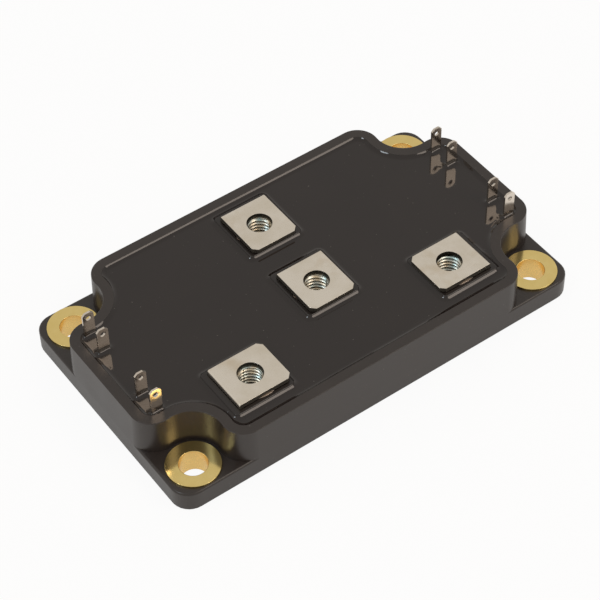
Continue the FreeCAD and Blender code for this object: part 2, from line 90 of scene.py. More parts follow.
block_low, block_high = extent("nut_holder_1")
block_half = (block_high[0] - block_low[0]) / 2
block_front = tab_front
block_back = block_high[1] - nut_middle_y
block_bottom, block_top = block_low[2], block_high[2]
blade_low, blade_high = extent("blade_left_1")
blade_top, blade_foot = blade_high[2], blade_low[2]

# Frame shape. The ears' edge rounding runs out on the shoulder arc at the shoulder split.
ear_top = 5.5
ear_corner = 4.5
ear_round = 0.55
foot_round = 0.3
notch_gap = 0.7
notch_draft = 0.5
shoulder = 5.2
foot_shoulder = shoulder + notch_draft
shoulder_split = math.acos(1 - ear_round / foot_shoulder)
wall = 2.8
rim_wall = 2.45
rim_half_x = cavity_half_x + wall
rim_half_y = cavity_half_y + wall
foot_notch = flange_radius + notch_gap
rim_notch = foot_notch + notch_draft
rim_round_outer = 0.15
rim_round_inner = 0.12
shelf_top = 4.7
shelf_start = 38.9
floor_top = 2.2
seat_top = 1.1
window_inset = 1.8
plate_gap = 0.2

# Points along the wall, the shoulder arc and the notch arc of a quarter of the outline
STRAIGHT, SHOULDER, NOTCH = 6, 14, 26

# Bushings, with the reach of the rounding at each corner of the section
bore_radius = 3.2
bore_taper = 0.12
barrel_radius = 4.6
flange_thickness = 0.7
seat_gap = 0.02
BUSHING_ROUNDS = (0.03, 0.25, 0, 0.12, 0.07, 0.12)
HOLE_POINTS = 72

# Screw terminals
tab_thickness = 1.2
tab_corner = 1.1
tab_hole = 2.96
tab_edge = 0.05
bend_outer = 0.5
heel_radius = tab_thickness / 2 + 0.15
leg_half = 3.9
slot_half = 1.2
leg_neck = tab_top - 3.0
slot_top = 8.5
foot_length = 3.4
# Share of the painted shade that the outer cut sides get, beside the screw hole's wall
painted_side_shade = 0.85

# Nuts. The collar runs through these steps: inside its own radius, and under the nut's top.
nut_bore = 2.5
nut_mouth = 2.65
nut_edge = 0.05
nut_corner_cut = 0.12
nut_seat = 1.0
nut_bright_ring = 0.9
collar_height = 0.18
COLLAR_STEPS = ((0.1, collar_height), (0, collar_height - nut_edge), (0, 0.04), (0.04, 0))
collar_lip = 0.08
thread_pitch = 1.0
thread_depth = 0.54
thread_sharpness = 1.3
thread_clearance = 0.02
NUT_POINTS, THREAD_STEPS = 144, 16

# Blocks under the terminals
slot_lead = 1.7
block_corner = 1.0
block_round = 0.35
pocket_gap = 0.05
leg_gap = 0.1
well_radius = 3.6
well_bottom = block_bottom + 0.9

# Blade terminals
blade_width = 2.8
blade_thickness = 0.5
blade_corner = 0.7
blade_edge = 0.09
blade_eye = 0.6
blade_eye_drop = 1.7
finger_end = 39.6

# Resin surface at its edges. Its net has points at these distances beside an edge, apart from
# those to which another edge is nearer than the crowding's share of the distance.
resin_level = resin_top + 0.25
meniscus_rise = 0.5
meniscus_reach = 1.2
blade_reach = 2.1
MENISCUS_STEPS = (0.06, 0.13, 0.21, 0.3, 0.4, 0.52, 0.66, 0.82, 1.0, 1.2, 1.5, 1.9, 2.3)
crowding = 0.93

# The terminals are listed with their turn in degrees, the radius of their nut's collar and
# their toe, which is 1 where the foot points away from the screw and -1 where it points under it
BUSHINGS = ["bushing_%d" % n for n in (1, 2, 3, 4)]
TERMINALS = {1: (0, 5.4, -1), 2: (0, 5.4, 1), 3: (-90, 6.3, -1), 4: (90, 6.3, -1)}
BLADES = ["blade_%s_%d" % (side, n) for side in ("left", "right") for n in (1, 2, 3, 4)]


# Meshes

def solid(name, points, faces, slot, sharp=35.0, shade=None):
    """One closed mesh from points in millimetres: equal points are merged, faces turned
    outwards, and edges that turn by more than the sharp angle are kept crisp. The shade is
    a value from 0 to 1 at each point, for the material."""
    mesh = bpy.data.meshes.new(name)
    mesh.from_pydata((np.asarray(points) * MM).tolist(), [], faces)
    if shade is not None:
        mesh.attributes.new("shade", "FLOAT", "POINT").data.foreach_set("value", shade)
    made = bmesh.new()
    made.from_mesh(mesh)
    bmesh.ops.remove_doubles(made, verts=made.verts, dist=PIECE_MERGE * MM)
    bmesh.ops.dissolve_degenerate(made, edges=made.edges, dist=SLIVER * MM)
    bmesh.ops.recalc_face_normals(made, faces=made.faces)
    limit = math.radians(sharp)
    for face in made.faces:
        face.smooth = True
    for edge in made.edges:
        edge.smooth = edge.calc_face_angle(0.0) < limit
    made.to_mesh(mesh)
    made.free()
    piece = bpy.data.objects.new(name, mesh)
    bpy.context.scene.collection.objects.link(piece)
    even = piece.modifiers.new("even_normals", "WEIGHTED_NORMAL")
    even.keep_sharp = True
    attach(piece, "root")
    return piece


def joined(parts):
    """Several (points, faces) as one, with the face numbers moved on."""
    points, faces, start = [], [], 0
    for part_points, part_faces in parts:
        points.append(np.asarray(part_points))
        faces += [[i + start for i in face] for face in part_faces]
        start += len(part_points)
    return np.vstack(points), faces


def band(rings):
    """Quads between closed rings of equally many points."""
    rings = np.asarray(rings)
    rows, count = rings.shape[:2]
    i, j = np.meshgrid(np.arange(rows - 1), np.arange(count), indexing="ij")
    k = (j + 1) % count
    quads = np.stack([i * count + j, i * count + k, (i + 1) * count + k, (i + 1) * count + j], -1)
    return rings.reshape(-1, 3), quads.reshape(-1, 4).tolist()


def inside(points, loop):
    """Whether each point lies in the loop, by counting the sides that a ray crosses."""
    x, y = points[:, 0][:, None], points[:, 1][:, None]
    x0, y0 = loop[:, 0][None], loop[:, 1][None]
    x1, y1 = np.roll(loop, -1, 0)[:, 0][None], np.roll(loop, -1, 0)[:, 1][None]
    spans = (y0 > y) != (y1 > y)
    with np.errstate(divide="ignore", invalid="ignore"):
        cross = x0 + (y - y0) * (x1 - x0) / (y1 - y0)
    return (spans & (x < cross)).sum(1) % 2 == 1


def net(loops, more=()):
    """Net of triangles along closed flat loops and through more points, kept where a
    triangle's middle is inside the first loop and outside the others. Gives its points, its
    triangles and, for each point, the number of the nearest point that was given."""
    points = np.vstack([*loops, *more])[:, :2]
    edges, start = [], 0
    for loop in loops:
        count = len(loop)
        edges += [(start + i, start + (i + 1) % count) for i in range(count)]
        start += count
    given = [Vector(p) for p in points]
    flat, _, cells, origins, *_ = delaunay_2d_cdt(given, edges, [], 0, NET_MERGE)
    flat, cells = np.array([tuple(p) for p in flat]), np.array(cells)
    source = [numbers[0] if numbers else int(np.argmin(np.linalg.norm(points - place, axis=1)))
              for numbers, place in zip(origins, flat)]
    middles = flat[cells].mean(1)
    keep = inside(middles, loops[0])
    for loop in loops[1:]:
        keep &= ~inside(middles, loop)
    return flat, cells[keep].tolist(), source


def lid(loops):
    """Flat face with holes: the first loop is its edge, the others are its holes."""
    flat, cells, source = net(loops)
    return at_height(flat, np.vstack(loops)[source, 2]), cells


def at_height(flat, z):
    """Points of a flat outline lifted to one height, or each to its own."""
    return np.c_[flat, np.broadcast_to(z, len(flat))]


def arc(centre, radius, angles):
    """Centre plus radius times (cos a, sin a) at each angle a."""
    return np.c_[np.cos(angles), np.sin(angles)] * radius + np.asarray(centre)


def circle(radius, count, centre=(0.0, 0.0)):
    """An arc once round."""
    return arc(centre, radius, np.linspace(0, 2 * math.pi, count, endpoint=False))


def quarter_turn(count):
    """Angles from 0 to a quarter turn, evenly spread."""
    return np.linspace(0, math.pi / 2, count)


def rounded_rectangle(x0, x1, y0, y1, radius, per_corner=8):
    """Rectangle whose corners are quarter circles of the given radius."""
    middles = ((x1 - radius, y1 - radius), (x0 + radius, y1 - radius),
               (x0 + radius, y0 + radius), (x1 - radius, y0 + radius))
    return np.vstack([arc(middle, radius, k * math.pi / 2 + quarter_turn(per_corner))
                      for k, middle in enumerate(middles)])


def turned(profile, centre, count=96):
    """Closed profile of (radius, height) points turned once about an upright axis."""
    a = np.linspace(0, 2 * math.pi, count, endpoint=False)
    rings = []
    for radius, height in list(profile) + [profile[0]]:
        rings.append(np.c_[centre[0] + radius * np.cos(a), centre[1] + radius * np.sin(a),
                           np.full(count, height)])
    return band(rings)


def rounded_profile(corners, reaches, steps=5):
    """Corners of a closed profile, each replaced by a quadratic curve of the given reach."""
    out = []
    count = len(corners)
    for i, (corner, reach) in enumerate(zip(corners, reaches)):
        corner = np.asarray(corner, float)
        if reach == 0:
            out.append(corner)
            continue
        before = np.asarray(corners[i - 1], float) - corner
        after = np.asarray(corners[(i + 1) % count], float) - corner
        start = corner + before / np.linalg.norm(before) * reach
        stop = corner + after / np.linalg.norm(after) * reach
        for t in np.linspace(0, 1, steps):
            out.append((1 - t) ** 2 * start + 2 * t * (1 - t) * corner + t ** 2 * stop)
    return np.array(out)


# Outline of the frame

def quarter_outline(half_x, half_y, notch, convex):
    """One quarter of the notched outline, from the end wall to the side wall: a straight run,
    a convex arc, the concave arc about the fixing hole, a convex arc and a straight run. The
    convex arcs touch the wall and the notch arc, so their middles lie one radius inside the
    wall and both radii away from the hole."""
    reach = notch + convex
    end_middle = np.array([half_x - convex,
                           hole_y - math.sqrt(reach ** 2 - (hole_x - half_x + convex) ** 2)])
    side_middle = np.array([hole_x - math.sqrt(reach ** 2 - (hole_y - half_y + convex) ** 2),
                            half_y - convex])
    hole = np.array([hole_x, hole_y])
    end_turn = math.atan2(*(hole - end_middle)[::-1])
    side_turn = math.atan2(*(hole - side_middle)[::-1])
    split, quarter = shoulder_split, math.pi / 2
    ends = np.linspace(0, 1, STRAIGHT, endpoint=False)
    straight_end = np.c_[np.full(STRAIGHT, half_x), ends * end_middle[1]]
    first = np.r_[np.linspace(0, split, SHOULDER // 2, endpoint=False),
                  np.linspace(split, end_turn, SHOULDER, endpoint=False)]
    last = np.r_[np.linspace(side_turn, quarter - split, SHOULDER, endpoint=False),
                 np.linspace(quarter - split, quarter, SHOULDER // 2, endpoint=False)]
    middle = np.linspace(end_turn, side_turn, NOTCH, endpoint=False) - math.pi
    straight_side = np.c_[(1 - np.linspace(0, 1, STRAIGHT + 1)) * side_middle[0],
                          np.full(STRAIGHT + 1, half_y)]
    return np.vstack([straight_end, arc(end_middle, convex, first), arc(hole, notch, middle),
                      arc(side_middle, convex, last), straight_side])


def four_quarters(quarter):
    """The whole outline from the quarter between the +X and the +Y axis."""
    parts = [quarter, quarter[::-1] * [-1, 1], -quarter, quarter[::-1] * [1, -1]]
    return np.vstack([part[:-1] for part in parts])


def foot_quarter():
    """A quarter of the walls' outline where they stand on the ears."""
    return quarter_outline(half_length, half_width, foot_notch, foot_shoulder)


def inset_outline(inset):
    """The rim's outline moved inwards: walls and convex arcs shrink, the notch arc grows."""
    return four_quarters(quarter_outline(rim_half_x - inset, rim_half_y - inset,
                                         rim_notch + inset, shoulder - inset))


def ear_quarter():
    """The ear's outline with as many points as the foot outline. Beside the convex arcs each
    point lies square across from its partner, and the rest is spread evenly over the corner."""
    foot = foot_quarter()
    ear = foot.copy()
    first = STRAIGHT + SHOULDER // 2 + SHOULDER
    last = first + NOTCH
    ear[:first, 0] = half_length
    ear[:first, 1] = np.maximum.accumulate(foot[:first, 1])
    ear[last:, 1] = half_width
    ear[last:, 0] = np.maximum.accumulate(foot[last:, 0][::-1])[::-1]
    start_y, stop_x = ear[first - 1, 1], ear[last, 0]
    corner = np.vstack([[half_length, start_y],
                        arc((half_length - ear_corner, half_width - ear_corner), ear_corner,
                            quarter_turn(40)),
                        [stop_x, half_width]])
    along = np.r_[0, np.cumsum(np.linalg.norm(np.diff(corner, axis=0), axis=1))]
    spread = np.linspace(0, along[-1], NOTCH + 2)[1:-1]
    ear[first:last, 0] = np.interp(spread, along, corner[:, 0])
    ear[first:last, 1] = np.interp(spread, along, corner[:, 1])
    return ear


def outward_of(ear):
    """Outward direction of the ear's rounded rectangle at each of its points."""
    inner = np.clip(ear, [ear_corner - half_length, ear_corner - half_width],
                    [half_length - ear_corner, half_width - ear_corner])
    away = ear - inner
    return away / np.linalg.norm(away, axis=1)[:, None]


def housing_shell():
    """Closed surface of the moulded frame. Rings run round it from the underside's edge up the
    ears, over the rim and down the cavity to the plate's pocket. The ears' tops and the
    underside's quarters are flat faces with holes for the bushings."""
    foot = four_quarters(foot_quarter())
    ear = four_quarters(ear_quarter())
    outward = outward_of(ear)
    gap = np.einsum("ij,ij->i", ear - foot, outward)
    gap = np.where(gap < CUT_MERGE, 0.0, gap)
    rounding_start = ear_top - ear_round

    def edge_height(inset):
        """Height of the ears' rounded edge, a quarter circle, at a distance from the wall."""
        return rounding_start + np.sqrt(np.maximum(
            ear_round ** 2 - (ear_round - np.minimum(inset, ear_round)) ** 2, 0.0))

    lower = []
    for a in quarter_turn(5):
        inset = foot_round * (1 - math.sin(a))
        lower.append(at_height(ear - outward * inset,
                               frame_lift + foot_round * (1 - math.cos(a))))
    for a in quarter_turn(9):
        inset = np.minimum(ear_round * (1 - math.cos(a)), gap)
        lower.append(at_height(ear - outward * inset[:, None], edge_height(inset)))
    upper = [at_height(foot, edge_height(gap)), at_height(foot, ear_top)]
    rim = inset_outline(0.0)
    top_share = (rim_top - rim_round_outer - ear_top) / (rim_top - ear_top)
    for share in np.linspace(0, top_share, 5)[1:]:
        upper.append(at_height(foot + (rim - foot) * share, ear_top + (rim_top - ear_top) * share))
    for a in quarter_turn(7)[1:]:
        upper.append(at_height(inset_outline(rim_round_outer * (1 - math.cos(a))),
                               rim_top - rim_round_outer * (1 - math.sin(a))))
    for a in quarter_turn(6):
        upper.append(at_height(inset_outline(rim_wall - rim_round_inner * (1 - math.sin(a))),
                               rim_top - rim_round_inner * (1 - math.cos(a))))
    cavity = inset_outline(rim_wall)
    window_half = np.array([plate_half_x, plate_half_y]) - window_inset
    pocket_half = np.array([plate_half_x, plate_half_y]) + plate_gap

    def pressed(half):
        """The cavity's outline pressed into a rectangle, never turning back on its sides."""
        quarter = np.clip(cavity[:len(cavity) // 4 + 1], 0, half)
        return four_quarters(np.c_[np.minimum.accumulate(quarter[:, 0]),
                                   np.maximum.accumulate(quarter[:, 1])])

    shelf = pressed(np.array([shelf_start, np.inf]))
    window, pocket = pressed(window_half), pressed(pocket_half)
    upper += [at_height(cavity, shelf_top), at_height(shelf, shelf_top),
              at_height(shelf, floor_top), at_height(window, floor_top),
              at_height(window, seat_top), at_height(pocket, seat_top),
              at_height(pocket, frame_lift)]
    parts = [band(lower), band(upper)]
    flange_seat = bush_top - flange_thickness
    barrel, flange = barrel_radius + seat_gap, flange_radius + seat_gap
    holes = []
    count = len(foot)
    for place in fixing_places():
        steps = ((flange, ear_top), (flange, flange_seat), (barrel, flange_seat),
                 (barrel, frame_lift))
        rings = [at_height(circle(radius, HOLE_POINTS, place), z) for radius, z in steps]
        parts.append(band(rings))
        holes.append(rings[-1])
        near = np.flatnonzero((np.sign(foot[:, 0]) == np.sign(place[0]))
                              & (np.sign(foot[:, 1]) == np.sign(place[1]))
                              & (gap > ear_round + PIECE_MERGE / 2))
        first, last = near[0], near[-1]
        tips = [(first - 1) % count, (last + 1) % count]
        edge = at_height(foot, ear_top)
        loop = np.vstack([upper[0][tips[0]], lower[-1][first:last + 1], upper[0][tips[1]],
                          edge[first:last + 1][::-1]])
        parts.append(lid([loop, rings[0]]))
    for start in range(0, count, count // 4):
        run = np.arange(start, start + count // 4 + 1) % count
        loop = np.vstack([lower[0][run], upper[-1][run[::-1]]])
        side = np.sign(loop.mean(0)[:2])
        parts.append(lid([loop] + [h for h in holes if np.all(np.sign(h.mean(0)[:2]) == side)]))
    return joined(parts)


def fixing_places():
    """Middles of the four fixing holes, in the order of the bushings' names."""
    return [(sx * hole_x, sy * hole_y) for sy in (1, -1) for sx in (-1, 1)]


# Pieces

def bushing_surface(place):
    """Turned sleeve: its closed section is carried once round the hole's axis."""
    under = bush_top - flange_thickness
    corners = [(bore_radius - bore_taper, 0.0), (barrel_radius, 0.0), (barrel_radius, under),
               (flange_radius, under), (flange_radius, bush_top), (bore_radius, bush_top)]
    return turned(rounded_profile(corners, BUSHING_ROUNDS), place)


def hexagon_radius(angle, half):
    """Distance from the middle to the side of a hexagon with corners on the X axis: half its
    width over the cosine of the angle from the middle of that side."""
    return half / np.cos(angle % (math.pi / 3) - math.pi / 6)


def nut_surface(collar_radius):
    """Hexagon nut about the origin. Outside, rings run from the bottom up the flats and over a
    thin round collar. Inside, the wall's radius is a thread wave of height minus one
    pitch per turn, widened by the countersunk mouth. The shade is 1 outside the bright ring
    round the mouth and 0 inside."""
    a = np.linspace(0, 2 * math.pi, NUT_POINTS, endpoint=False)
    side = np.minimum(hexagon_radius(a, nut_half), nut_corner - nut_corner_cut)

    def ring(radius, height):
        """Points at one radius and height, or each at its own."""
        return np.c_[radius * np.cos(a), radius * np.sin(a), np.broadcast_to(height, NUT_POINTS)]

    rings = [ring(nut_bore + nut_seat, nut_bottom), ring(side, nut_bottom),
             ring(side, nut_top - collar_height - nut_edge)]
    rings += [ring(collar_radius - inside_by, nut_top - drop) for inside_by, drop in COLLAR_STEPS]
    rings.append(ring(nut_mouth + collar_lip, nut_top))
    turns = int((nut_top - nut_bottom) / thread_pitch) + 2
    for k in range(turns * THREAD_STEPS, -1, -1):
        height = nut_bottom + (k / THREAD_STEPS - 1 + a / (2 * math.pi)) * thread_pitch
        height = np.clip(height, nut_bottom, nut_top)
        phase = (height - nut_bottom) / thread_pitch - a / (2 * math.pi)
        wave = 0.5 - 0.5 * np.cos(2 * math.pi * phase)
        radius = nut_bore + thread_clearance + thread_depth * wave ** thread_sharpness
        mouth = nut_mouth + nut_edge - (nut_top - height)
        rings.append(ring(np.maximum(radius, mouth), height))
    points, faces = band(rings + [rings[0]])
    from_middle = np.hypot(points[:, 0], points[:, 1])
    return points, faces, (from_middle > nut_mouth + nut_bright_ring).astype(float)


def pocket_outline():
    """The holder's pocket: the nut's hexagon and, behind it, the slot for the leg."""
    half = nut_half + pocket_gap
    corner = half * 2 / math.sqrt(3)
    side = tab_half + leg_gap
    slot_start = tab_back - slot_lead
    cross = corner - slot_start / math.sqrt(3)
    return np.array([(corner, 0), (cross, slot_start), (side, slot_start),
                     (side, tab_back + leg_gap), (-side, tab_back + leg_gap),
                     (-side, slot_start), (-cross, slot_start), (-corner, 0),
                     (-corner / 2, -half), (corner / 2, -half)])


def holder_surface():
    """Moulded block about the origin, with a rounded top edge, the nut's pocket, the slot for
    the leg and the well for the screw's end."""
    def outline(inset):
        """The block's rectangle moved inwards."""
        return rounded_rectangle(-block_half + inset, block_half - inset, -block_front + inset,
                                 block_back - inset, block_corner - inset)

    rings = [at_height(outline(0.0), block_bottom)]
    for a in quarter_turn(6):
        rings.append(at_height(outline(block_round * (1 - math.cos(a))),
                               block_top - block_round * (1 - math.sin(a))))
    pocket = pocket_outline()
    well = circle(well_radius, 48)
    parts = [band(rings), lid([rings[-1], at_height(pocket, block_top)]),
             band([at_height(pocket, block_top), at_height(pocket, nut_bottom)]),
             lid([at_height(pocket, nut_bottom), at_height(well, nut_bottom)]),
             band([at_height(well, nut_bottom), at_height(well, well_bottom)]),
             lid([at_height(well, well_bottom)]), lid([rings[0]])]
    return joined(parts)


def placed(surface, place, turn):
    """A surface turned about the upright axis and moved to its place."""
    points, faces, *rest = surface
    a = math.radians(turn)
    spin = np.array([[math.cos(a), math.sin(a), 0], [-math.sin(a), math.cos(a), 0], [0, 0, 1]])
    return points @ spin + [place[0], place[1], 0], faces, *rest


def terminal_place(number):
    """Middle of a terminal's nut, seen from above."""
    low, high = extent("captive_nut_%d" % number)
    return (low[:2] + high[:2]) / 2


def folded_strip(blank, thickness, edge, shape, cuts=()):
    """A flat blank, its outline and holes as loops of (across, along) points, made solid with
    bevelled edges and folded. Each cut is a start, a length and a number of steps along the
    strip, and the surface is cut across at every step so that it can bend there. The shape
    moves the flat points to their place. Gives points, faces and a value at each point: the
    distance from the nearer face over the bevel, from 0 on a face to 1 on a cut side, which the
    terminals use for painted shade."""
    made = bmesh.new()
    points, faces = lid([at_height(loop, 0.0) for loop in blank])
    verts = [made.verts.new(p) for p in points]
    for face in faces:
        made.faces.new([verts[i] for i in face])
    bmesh.ops.remove_doubles(made, verts=made.verts, dist=NET_MERGE)
    bmesh.ops.dissolve_limit(made, angle_limit=0.01, verts=made.verts, edges=made.edges)
    grown = bmesh.ops.extrude_face_region(made, geom=list(made.faces))
    moved = [g for g in grown["geom"] if isinstance(g, bmesh.types.BMVert)]
    bmesh.ops.translate(made, verts=moved, vec=(0, 0, -thickness))
    bmesh.ops.recalc_face_normals(made, faces=made.faces)
    crisp = [e for e in made.edges if e.calc_face_angle(0.0) > math.radians(50)
             and abs(e.verts[0].co.z - e.verts[1].co.z) < CUT_MERGE]
    bmesh.ops.bevel(made, geom=crisp, offset=edge, segments=3, profile=0.5,
                    affect="EDGES", clamp_overlap=True)
    for start, length, steps in cuts:
        for share in np.linspace(0, 1, steps + 1):
            geom = list(made.verts) + list(made.edges) + list(made.faces)
            bmesh.ops.bisect_plane(made, geom=geom, plane_co=(0, start + share * length, 0),
                                   plane_no=(0, 1, 0), dist=CUT_MERGE)
    bmesh.ops.triangulate(made, faces=made.faces)
    made.verts.ensure_lookup_table()
    flat = np.array([v.co for v in made.verts])
    cells = [[v.index for v in f.verts] for f in made.faces]
    made.free()
    depth = -flat[:, 2]
    painted_cut_shade = np.clip(np.minimum(depth, thickness - depth) / edge, 0, 1)
    return shape(flat), cells, painted_cut_shade


def terminal_shape(toe):
    """Where a point of the terminal's blank goes: level plate, quarter turn down, straight
    leg, quarter turn into the foot, level foot. The depth under the outer face is kept. The
    lengths u1 to u4 along the strip are where the bend and the heel start and end. Gives this
    shape, the cuts, and the lengths at which the leg narrows, its slot starts and it ends."""
    bend_z = tab_top - bend_outer
    bend_length = bend_outer * math.pi / 2
    heel_length = heel_radius * math.pi / 2
    outer_heel = heel_radius + tab_thickness / 2
    leg_end_z = tab_foot + outer_heel
    u1 = tab_back - bend_outer
    u2 = u1 + bend_length
    u3 = u2 + bend_z - leg_end_z
    u4 = u3 + heel_length

    def shape(flat):
        """Each run of the strip in turn, with a turn's angle its length over its radius."""
        x, u, depth = flat[:, 0], flat[:, 1], -flat[:, 2]
        corner = np.maximum(bend_outer, depth)
        y = np.minimum(u, tab_back - corner)
        z = tab_top - depth
        turn = np.clip((u - u1) / bend_length, 0, 1) * math.pi / 2
        in_bend = (u >= u1) & (u < u2)
        y = np.where(in_bend, tab_back - corner + (corner - depth) * np.sin(turn), y)
        z = np.where(in_bend, tab_top - corner + (corner - depth) * np.cos(turn), z)
        in_leg = (u >= u2) & (u < u3)
        y = np.where(in_leg, tab_back - depth, y)
        z = np.where(in_leg, np.minimum(bend_z - (u - u2), tab_top - corner), z)
        away = depth if toe < 0 else tab_thickness - depth
        radius = outer_heel - away
        heel = np.clip((u - u3) / heel_length, 0, 1) * math.pi / 2
        axis_y = tab_back - outer_heel if toe < 0 else tab_back - tab_thickness + outer_heel
        in_heel = (u >= u3) & (u < u4)
        y = np.where(in_heel, axis_y - toe * radius * np.cos(heel), y)
        z = np.where(in_heel, leg_end_z - radius * np.sin(heel), z)
        in_foot = u >= u4
        y = np.where(in_foot, axis_y + toe * (u - u4), y)
        z = np.where(in_foot, leg_end_z - radius, z)
        return np.c_[x, y, z]

    cuts = [(u1, bend_length, 8), (u3, heel_length, 6)]
    neck = u2 + bend_z - leg_neck
    slot = u2 + bend_z - slot_top
    return shape, cuts, neck, slot, u4 + foot_length - outer_heel


def terminal_surface(toe):
    """Screw terminal about its nut's axis: a plate with two cut corners and a round hole, and
    behind it a narrower leg that a slot parts in two."""
    shape, cuts, neck, slot, end = terminal_shape(toe)
    half = [(tab_half, neck), (tab_half, tab_corner - tab_front),
            (tab_half - tab_corner, -tab_front)]
    right = [(slot_half, slot), (slot_half, end), (leg_half, end), (leg_half, neck)] + half
    outline = right + [(-x, y) for x, y in right[::-1]]
    blank = [np.array(outline), circle(tab_hole, 64)]
    points, cells, painted_cut_shade = folded_strip(blank, tab_thickness, tab_edge, shape, cuts)
    # Painted shade: the hole's wall gets the full darkening and the outer cut sides a share of it
    hole = np.hypot(points[:, 0], points[:, 1]) < tab_hole + tab_edge / 2
    return points, cells, np.where(hole, painted_cut_shade, painted_side_shade * painted_cut_shade)


def blade_middle(name):
    """Middle of a blade's upright part, seen from above, and its side: 1 right, -1 left. The
    upright stands at the outer end of the finger and on the edge nearer the long wall."""
    low, high = extent(name)
    side = 1 if high[0] > 0 else -1
    x = side * (max(abs(low[0]), abs(high[0])) - blade_width / 2)
    if low[1] + high[1] > 0:
        return side, x, high[1] - blade_thickness / 2
    return side, x, low[1] + blade_thickness / 2


def blade_surface(name):
    """Blade: a pierced blank with two cut corners, stood on the flat finger that reaches
    inwards along the shelf."""
    side, x, y = blade_middle(name)
    half = blade_width / 2
    top = blade_top - blade_foot
    outline = np.array([(-half, 0), (half, 0), (half, top - blade_corner),
                        (half - blade_corner, top), (-half + blade_corner, top),
                        (-half, top - blade_corner)])
    eye = circle(blade_eye, 32, (0, top - blade_eye_drop))

    def upright(flat):
        """The blank stood up across the end wall."""
        return np.c_[x + flat[:, 0], y + flat[:, 2] + blade_thickness / 2, blade_foot + flat[:, 1]]

    stem = folded_strip([outline, eye], blade_thickness, blade_edge, upright)
    low, high = extent(name)
    x0, x1 = sorted((side * finger_end, side * (abs(x) - half)))
    finger = np.array([(x0, low[1]), (x1, low[1]), (x1, high[1]), (x0, high[1])])

    def level(flat):
        """The finger laid on the shelf."""
        return np.c_[flat[:, 0], flat[:, 1], blade_foot + blade_thickness + flat[:, 2]]

    foot = folded_strip([finger], blade_thickness, tab_edge, level)
    return joined([stem[:2], foot[:2]])


# Resin

def offset_loop(loop, distance):
    """Each point of a closed loop moved along the loop's outward side, taken from its
    neighbours."""
    along = np.roll(loop, -1, 0) - np.roll(loop, 1, 0)
    normal = np.c_[along[:, 1], -along[:, 0]]
    normal /= np.linalg.norm(normal, axis=1)[:, None]
    return loop + normal * distance


def subdivided(loop, step=0.8):
    """The loop with each side cut into parts no longer than the step."""
    out = []
    for start, stop in zip(loop, np.roll(loop, -1, 0)):
        parts = max(1, math.ceil(np.linalg.norm(stop - start) / step))
        out.append(start + (stop - start) * np.linspace(0, 1, parts, endpoint=False)[:, None])
    return np.vstack(out)


def nearest_edge(points, loops):
    """Distance from each point to the nearest side of the loops."""
    best = np.full(len(points), np.inf)
    for loop in loops:
        start, step = loop, np.roll(loop, -1, 0) - loop
        size = np.maximum(np.einsum("ij,ij->i", step, step), CUT_MERGE ** 2)
        away = points[:, None, :] - start[None]
        share = np.clip(np.einsum("pij,ij->pi", away, step) / size, 0, 1)
        gap = away - share[..., None] * step[None]
        best = np.minimum(best, np.sqrt(np.einsum("pij,pij->pi", gap, gap)).min(1))
    return best


def blade_section(name):
    """Where a blade's upright part passes the resin."""
    _, x, y = blade_middle(name)
    return rounded_rectangle(x - blade_width / 2, x + blade_width / 2, y - blade_thickness / 2,
                             y + blade_thickness / 2, blade_edge, 4)


def holder_section(number):
    """Where a block under a terminal passes the resin."""
    turn = TERMINALS[number][0]
    flat = rounded_rectangle(-block_half, block_half, -block_front, block_back, block_corner)
    return placed((at_height(flat, 0.0), []), terminal_place(number), turn)[0][:, :2]


def resin_surface():
    """Casting resin: its height is the level plus the rise times a power of one minus the
    distance from the nearest edge over the reach: squared at the rim and the blocks, cubed
    and with a longer reach at the blades."""
    outer = subdivided(inset_outline(rim_wall))
    blocks = [subdivided(holder_section(n)) for n in TERMINALS]
    blades = [subdivided(blade_section(b), 0.35) for b in BLADES]
    loops = [outer] + blocks + blades
    rings = []
    for distance in MENISCUS_STEPS:
        for index, loop in enumerate(loops):
            moved = offset_loop(loop, -distance if index == 0 else distance)
            clear = nearest_edge(moved, loops) > crowding * distance
            rings.append(moved[clear])
    flat, cells, _ = net(loops, rings)
    near = np.clip(1 - nearest_edge(flat, [outer] + blocks) / meniscus_reach, 0, 1) ** 2
    near_blade = np.clip(1 - nearest_edge(flat, blades) / blade_reach, 0, 1) ** 3
    top = at_height(flat, resin_level + meniscus_rise * np.maximum(near, near_blade))
    parts = [(top, cells)]
    for loop in loops:
        parts.append(band([at_height(loop, resin_level + meniscus_rise),
                           at_height(loop, resin_bottom)]))
    parts.append(lid([at_height(loop, resin_bottom) for loop in loops]))
    return joined(parts)


# Materials

def arithmetic(operation, swapped=False):
    """An operator of values, or its reflected form, as one arithmetic step."""
    def work(value, other):
        """The operation on both, in the order in which they are written."""
        return value.math(operation, *((other, value) if swapped else (value, other)))
    return work


class Value:
    """A value in a material. Arithmetic on it adds nodes that work it out."""
    __add__, __radd__ = arithmetic("ADD"), arithmetic("ADD", True)
    __sub__, __rsub__ = arithmetic("SUBTRACT"), arithmetic("SUBTRACT", True)
    __mul__, __rmul__ = arithmetic("MULTIPLY"), arithmetic("MULTIPLY", True)
    __pow__ = arithmetic("POWER")

    def __init__(self, sheet, socket):
        self.sheet = sheet
        self.socket = socket

    def math(self, operation, first, second=0.0):
        """One arithmetic step."""
        return self.sheet.node("ShaderNodeMath", {"operation": operation},
                               {0: first, 1: second})

    def __abs__(self):
        return self.math("ABSOLUTE", self)

    def clip(self):
        """The value kept between 0 and 1."""
        return self.sheet.node("ShaderNodeClamp", {}, {0: self})


